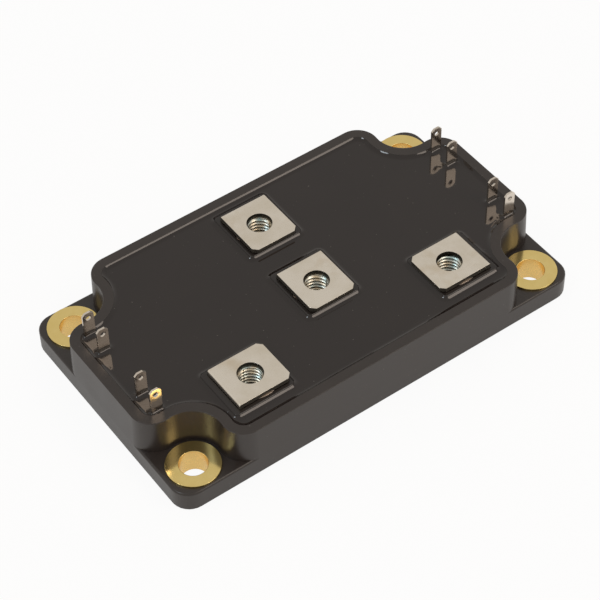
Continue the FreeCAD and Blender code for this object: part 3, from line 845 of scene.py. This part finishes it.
class Sheet:
    """One material, or the sky, and its nodes."""

    def __init__(self, name, family=bpy.data.materials):
        self.material = family.new(name)
        self.material.use_nodes = True
        self.tree = self.material.node_tree
        self.tree.nodes.clear()
        self.place = self.node("ShaderNodeTexCoord", out="Object")

    def node(self, kind, settings=None, inputs=None, out=0):
        """A new node of a kind, with its settings, what its inputs get and which output counts."""
        made = self.tree.nodes.new(kind)
        for key, value in (settings or {}).items():
            if key == "stops":
                ramp = made.color_ramp
                while len(ramp.elements) < len(value):
                    ramp.elements.new(0.5)
                for stop, (position, colour) in zip(ramp.elements, value):
                    stop.position, stop.color = position, tuple(colour) + (1.0,)
            else:
                setattr(made, key, value)
        for key, value in (inputs or {}).items():
            self.feed(made.inputs[key], value)
        return Value(self, made.outputs[out])

    def feed(self, socket, value):
        """Links a value to an input, or sets the input to a number or colour."""
        if isinstance(value, Value):
            self.tree.links.new(value.socket, socket)
        elif hasattr(value, "__len__") and len(value) == 3 and socket.type == "RGBA":
            socket.default_value = tuple(value) + (1.0,)
        else:
            socket.default_value = value

    def attribute(self, name):
        """A value that the piece's mesh holds at each point."""
        return self.node("ShaderNodeAttribute", {"attribute_name": name}, out="Fac")

    def rays(self, kind):
        """1 for the rays of a kind, such as Camera, and 0 for others."""
        return self.node("ShaderNodeLightPath", out="Is %s Ray" % kind)

    def noise(self, scale, detail, where=None, roughness=0.5):
        """Cloudy pattern from 0 to 1, with the scale in clouds per metre."""
        return self.node("ShaderNodeTexNoise", {},
                         {"Vector": where or self.place, "Scale": scale, "Detail": detail,
                          "Roughness": roughness})

    def stretched(self, scale, turn=0.0):
        """Object coordinates scaled by (x, y, z) and turned about Z."""
        return self.node("ShaderNodeMapping", {},
                         {"Vector": self.place, "Scale": scale,
                          "Rotation": (0.0, 0.0, math.radians(turn))})

    def ramp(self, factor, stops):
        """Colour between the stops on either side of the factor."""
        return self.node("ShaderNodeValToRGB", {"stops": stops}, {"Fac": factor})

    def step(self, factor, low, high):
        """0 below low, 1 above high and straight between them."""
        return self.node("ShaderNodeMapRange", {}, {"Value": factor, "From Min": low,
                                                    "From Max": high})

    def mix(self, factor, first, second):
        """The first colour at factor 0, the second at 1."""
        return self.node("ShaderNodeMix", {"data_type": "RGBA"},
                         {0: factor, 6: first, 7: second}, out=2)

    def bump(self, height, distance, strength, normal=None):
        """Surface direction for a height pattern whose range is a distance in metres."""
        inputs = {"Height": height, "Distance": distance, "Strength": strength}
        if normal is not None:
            inputs["Normal"] = normal
        return self.node("ShaderNodeBump", {}, inputs)

    def surface(self, **inputs):
        """The finished material, with the surface's inputs by name."""
        shader = self.node("ShaderNodeBsdfPrincipled", {},
                           {key.replace("_", " "): value for key, value in inputs.items()})
        return self.show(shader)

    def show(self, shader, output="ShaderNodeOutputMaterial"):
        """Makes the shader what the material shows."""
        self.feed(self.tree.nodes.new(output).inputs["Surface"], shader)
        return self.material


def moulded_plastic():
    """Dark satin frame plastic: glass-filled mottling, a fine grain and a little dust."""
    s = Sheet("moulded_plastic")
    mottle = s.noise(180.0, 4.0)
    grain = s.noise(5200.0, 2.0)
    specks = s.step(s.noise(2400.0, 0.0), 0.85, 0.87)
    colour = s.mix(mottle, (0.020, 0.0145, 0.0125), (0.030, 0.0225, 0.0195))
    colour = s.mix(specks * 0.4, colour, (0.2, 0.19, 0.18))
    return s.surface(Base_Color=colour, Roughness=0.27 + mottle * 0.12, IOR=1.55,
                     Normal=s.bump(grain, 0.00001, 0.35))


def cast_resin():
    """Near-black glossy resin with slow waves, dust specks and a few hair scratches."""
    s = Sheet("cast_resin")
    cloud = s.noise(60.0, 3.0)
    specks = s.step(s.noise(2100.0, 0.0), 0.875, 0.885)
    scratch = s.step(s.noise(1.0, 1.0, s.stretched((110.0, 3400.0, 1.0), 25.0)), 0.75, 0.77)
    patch = s.step(s.noise(45.0, 1.0), 0.6, 0.66)
    mark = (specks + scratch * patch * 0.4).clip()
    colour = s.mix(cloud, (0.0115, 0.0078, 0.0070), (0.0165, 0.0112, 0.0100))
    colour = s.mix(mark * 0.3, colour, (0.22, 0.2, 0.18))
    wave = s.bump(s.noise(130.0, 1.0), 0.00006, 0.35)
    return s.surface(Base_Color=colour, Roughness=0.04 + cloud * 0.05 + mark * 0.3, IOR=1.53,
                     Normal=s.bump(s.noise(2600.0, 2.0), 0.000004, 0.3, wave))


def holder_plastic():
    """The blocks under the terminals: the same dark plastic, wetted by resin."""
    s = Sheet("holder_plastic")
    cloud = s.noise(400.0, 3.0)
    return s.surface(Base_Color=s.mix(cloud, (0.012, 0.0088, 0.0080), (0.018, 0.0135, 0.0120)),
                     Roughness=0.16 + cloud * 0.12, IOR=1.52,
                     Normal=s.bump(s.noise(900.0, 2.0), 0.00002, 0.3))


def nickel(name, bright, dull, rough):
    """Nickel plating: cloudy smudges, brownish stains, fine rolling lines and a slightly warm
    tone, with painted shade where the shade value is high: the cut sides and the screw hole's wall
    are drawn nearly black, and rougher."""
    s = Sheet(name)
    smudge = s.noise(130.0, 5.0, roughness=0.62)
    lines = s.noise(1.0, 2.0, s.stretched((300.0, 9000.0, 300.0), 20.0))
    stain = s.step(s.noise(150.0, 4.0), 0.56, 0.72)
    colour = s.mix(s.step(smudge, 0.3, 0.6), dull, bright)
    stained = tuple(c * k for c, k in zip(dull, (0.84, 0.76, 0.64)))
    colour = s.mix(stain * 0.45, colour, stained)
    # Painted shade: where the shade value rises the colour goes to a tenth of the dull tone, for
    # the shade on the cut sides and in the screw hole
    painted_cut_shade = s.attribute("shade")
    colour = s.mix(painted_cut_shade, colour, tuple(0.1 * c for c in dull))
    return s.surface(Base_Color=colour, Metallic=1.0,
                     Roughness=rough + smudge * 0.12 + stain * 0.08 + painted_cut_shade * 0.3,
                     Normal=s.bump(lines, 0.000003, 0.35))


def turned_brass():
    """Pale yellow metal with turning rings about each fixing hole: the sine of the distance
    from the nearest hole's middle. The bore is rougher, and is painted brighter and more orange
    than the flange as painted light for the light reflected to and fro inside it."""
    s = Sheet("turned_brass")
    x, y = (s.node("ShaderNodeSeparateXYZ", {}, {0: s.place}, axis) for axis in (0, 1))
    out_x, out_y = abs(x) - hole_x * MM, abs(y) - hole_y * MM
    radius = (out_x * out_x + out_y * out_y) ** 0.5
    ring_spacing = 0.2094 * MM
    rings = s.node("ShaderNodeMath", {"operation": "SINE"},
                   {0: radius * (2 * math.pi / ring_spacing)})
    stain = s.noise(420.0, 4.0)
    # Painted light: the bore's wall is drawn brighter and more orange than the flange, for the
    # light reflected to and fro inside it
    bore = s.step(radius, (bore_radius + 0.15) * MM, (bore_radius + 0.05) * MM)
    colour = s.mix(stain, (0.80, 0.60, 0.21), (0.92, 0.74, 0.32))
    colour = s.mix(bore, colour, (0.95, 0.69, 0.27))
    return s.surface(Base_Color=colour, Metallic=1.0,
                     Roughness=0.1 + stain * 0.05 + bore * 0.15,
                     Normal=s.bump(rings, 0.0000012, 0.12))


def zinc_plate():
    """Zinc-plated nut: patches of teal, grey and gold in the thread and round the mouth, and
    a plain brown-grey outside, where the shade is 1."""
    s = Sheet("zinc_plate")
    drift = s.noise(520.0, 2.0)
    tint = s.ramp(drift, [(0.32, (0.42, 0.54, 0.53)), (0.5, (0.62, 0.60, 0.52)),
                          (0.66, (0.72, 0.60, 0.42))])
    outer = s.attribute("shade")
    return s.surface(Base_Color=s.mix(outer, tint, (0.58, 0.49, 0.42)), Metallic=1.0,
                     Roughness=0.26 + drift * 0.12,
                     Normal=s.bump(s.noise(4000.0, 2.0), 0.000002, 0.2))


def plain(name, dark, light, rough, metallic=0.0):
    """A mottled finish between two tones, for what lies inside or underneath."""
    s = Sheet(name)
    cloud = s.noise(300.0, 4.0)
    return s.surface(Base_Color=s.mix(cloud, dark, light), Metallic=metallic,
                     Roughness=rough + cloud * 0.12,
                     Normal=s.bump(s.noise(2400.0, 2.0), 0.000005, 0.3))


def finishes():
    """A material for each slot."""
    return {
        "housing_plastic": moulded_plastic(),
        "resin": cast_resin(),
        "holder_plastic": holder_plastic(),
        "terminal_nickel": nickel("terminal_nickel", (0.82, 0.76, 0.67), (0.73, 0.66, 0.55), 0.2),
        "blade_nickel": nickel("blade_nickel", (0.76, 0.69, 0.61), (0.62, 0.56, 0.49), 0.1),
        "nut_zinc": zinc_plate(),
        "bushing_brass": turned_brass(),
        "copper": plain("bare_copper", (0.62, 0.27, 0.16), (0.80, 0.42, 0.28), 0.3, 1.0),
        "ceramic": plain("white_ceramic", (0.78, 0.77, 0.73), (0.86, 0.85, 0.82), 0.5),
        "silicon": plain("silicon_die", (0.10, 0.11, 0.14), (0.18, 0.19, 0.23), 0.15, 0.6),
        "solder": plain("dull_solder", (0.42, 0.42, 0.42), (0.6, 0.6, 0.6), 0.4, 1.0),
        "bond_aluminium": plain("bond_aluminium", (0.72, 0.73, 0.74), (0.84, 0.85, 0.86),
                                0.3, 1.0),
        "glue": plain("silicone_glue", (0.35, 0.35, 0.33), (0.42, 0.42, 0.4), 0.5),
        "gel": plain("silicone_gel", (0.45, 0.47, 0.48), (0.55, 0.57, 0.58), 0.25),
    }


def dress(piece, material):
    """Gives a piece one material in place of those it has."""
    piece.data.materials.clear()
    piece.data.materials.append(material)


# Scene

def studio():
    """Pale floor that is white to the camera, keeps the shadow and is clear from underneath,
    and a pale sky that is white to the camera."""
    half, level = 3.0, -0.05 * MM
    corners = [(-half, -half, level), (half, -half, level), (half, half, level),
               (-half, half, level)]
    mesh = bpy.data.meshes.new("studio_floor")
    mesh.from_pydata(corners, [], [(0, 1, 2, 3)])
    floor = bpy.data.objects.new("studio_floor", mesh)
    bpy.context.scene.collection.objects.link(floor)
    s = Sheet("studio_white")
    diffuse = s.node("ShaderNodeBsdfDiffuse", {}, {"Color": (0.86, 0.83, 0.79)})
    glow = s.node("ShaderNodeEmission", {}, {"Color": (1.0, 1.0, 1.0), "Strength": 1.0})
    clear = s.node("ShaderNodeBsdfTransparent")
    seen_glow, mirrored_glow = 0.93, 0.5
    mirrored = (s.rays("Glossy") + s.rays("Transmission")).clip()
    share = (s.rays("Camera") * seen_glow + mirrored * mirrored_glow).clip()
    lit = s.node("ShaderNodeMixShader", {}, {0: share, 1: diffuse, 2: glow})
    under = s.node("ShaderNodeNewGeometry", out="Backfacing")
    dress(floor, s.show(s.node("ShaderNodeMixShader", {}, {0: under, 1: lit, 2: clear})))

    s = Sheet("studio_world", bpy.data.worlds)
    sky = s.node("ShaderNodeBackground", {}, {"Color": (1.0, 0.96, 0.90), "Strength": 0.64})
    white = s.node("ShaderNodeBackground", {}, {"Color": (1.0, 1.0, 1.0), "Strength": 1.0})
    mixed = s.node("ShaderNodeMixShader", {}, {0: s.rays("Camera"), 1: sky, 2: white})
    bpy.context.scene.world = s.show(mixed, "ShaderNodeOutputWorld")


def lamp(name, place, size, watts, colour):
    """Rectangular lamp at a place, in metres, that faces the middle of the part's foot."""
    data = bpy.data.lights.new(name, "AREA")
    data.shape = "RECTANGLE"
    data.size, data.size_y = size
    data.energy = watts
    data.color = colour
    made = bpy.data.objects.new(name, data)
    made.location = place
    made.rotation_euler = (-Vector(place)).to_track_quat("-Z", "Y").to_euler()
    bpy.context.scene.collection.objects.link(made)


def camera():
    """The photograph's view: its place in millimetres, one turn from the part's axes to the
    camera's right, down and forward axes, as an axis whose length is the angle, and its
    focal length and picture in pixels."""
    place = np.array([-177.03, -252.33, 350.41])
    turn = np.array([2.3095194, -0.7565571, 0.2667483])
    angle = float(np.linalg.norm(turn))
    right, down, forward = Matrix.Rotation(angle, 3, Vector(turn / angle))
    focal_pixels, picture_pixels, sensor = 2040.92, 600, 36.0
    data = bpy.data.cameras.new("camera")
    data.sensor_width = sensor
    data.lens = focal_pixels / picture_pixels * sensor
    data.clip_start, data.clip_end = 0.01, 10.0
    made = bpy.data.objects.new("camera", data)
    basis = Matrix((right, -down, -forward)).transposed()
    made.matrix_world = Matrix.Translation(Vector(place * MM)) @ basis.to_4x4()
    bpy.context.scene.collection.objects.link(made)
    bpy.context.scene.camera = made


def build():
    """Every piece that stands in for a CAD node, and the finish of every node that stays."""
    finish = finishes()

    def make(name, surface, node, slot, sharp=35.0):
        """A piece in place of a node, with its slot's finish."""
        points, faces, *shade = surface
        piece = solid(name, points, faces, slot, sharp, *shade)
        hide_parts(node)
        dress(piece, finish[slot])

    make("frame_moulding", housing_shell(), "housing", "housing_plastic")
    for node, place in zip(BUSHINGS, fixing_places()):
        make(node + "_turned", bushing_surface(place), node, "bushing_brass", 50.0)
    make("resin_fill", resin_surface(), "casting_resin", "resin")
    for number, (turn, collar_radius, toe) in TERMINALS.items():
        place = terminal_place(number)
        make("screw_terminal_%d" % number, placed(terminal_surface(toe), place, turn),
             "main_terminal_%d" % number, "terminal_nickel")
        make("threaded_nut_%d" % number, placed(nut_surface(collar_radius), place, turn),
             "captive_nut_%d" % number, "nut_zinc", 60.0)
        make("nut_block_%d" % number, placed(holder_surface(), place, turn),
             "nut_holder_%d" % number, "holder_plastic")
    for name in BLADES:
        make(name + "_stamped", blade_surface(name), name, "blade_nickel")
    # The nodes that no piece stands in for keep their own shape
    slots = {row["node"]: row["material_slot"] for row in frame["record"]["subparts"]}
    for node, thing in frame["nodes"].items():
        if not thing.hide_render:
            dress(thing, finish[slots[node]])


build()
studio()
lamp("softbox", (0.46, -0.65, 0.90), (0.5, 0.5), 2.8, (1.0, 0.86, 0.74))
lamp("skylight", (-0.66, 0.10, 0.98), (0.3, 0.2), 1.5, (0.84, 0.93, 1.0))
camera()
bpy.context.scene.view_settings.view_transform = "Standard"

bpy.context.view_layer.update()
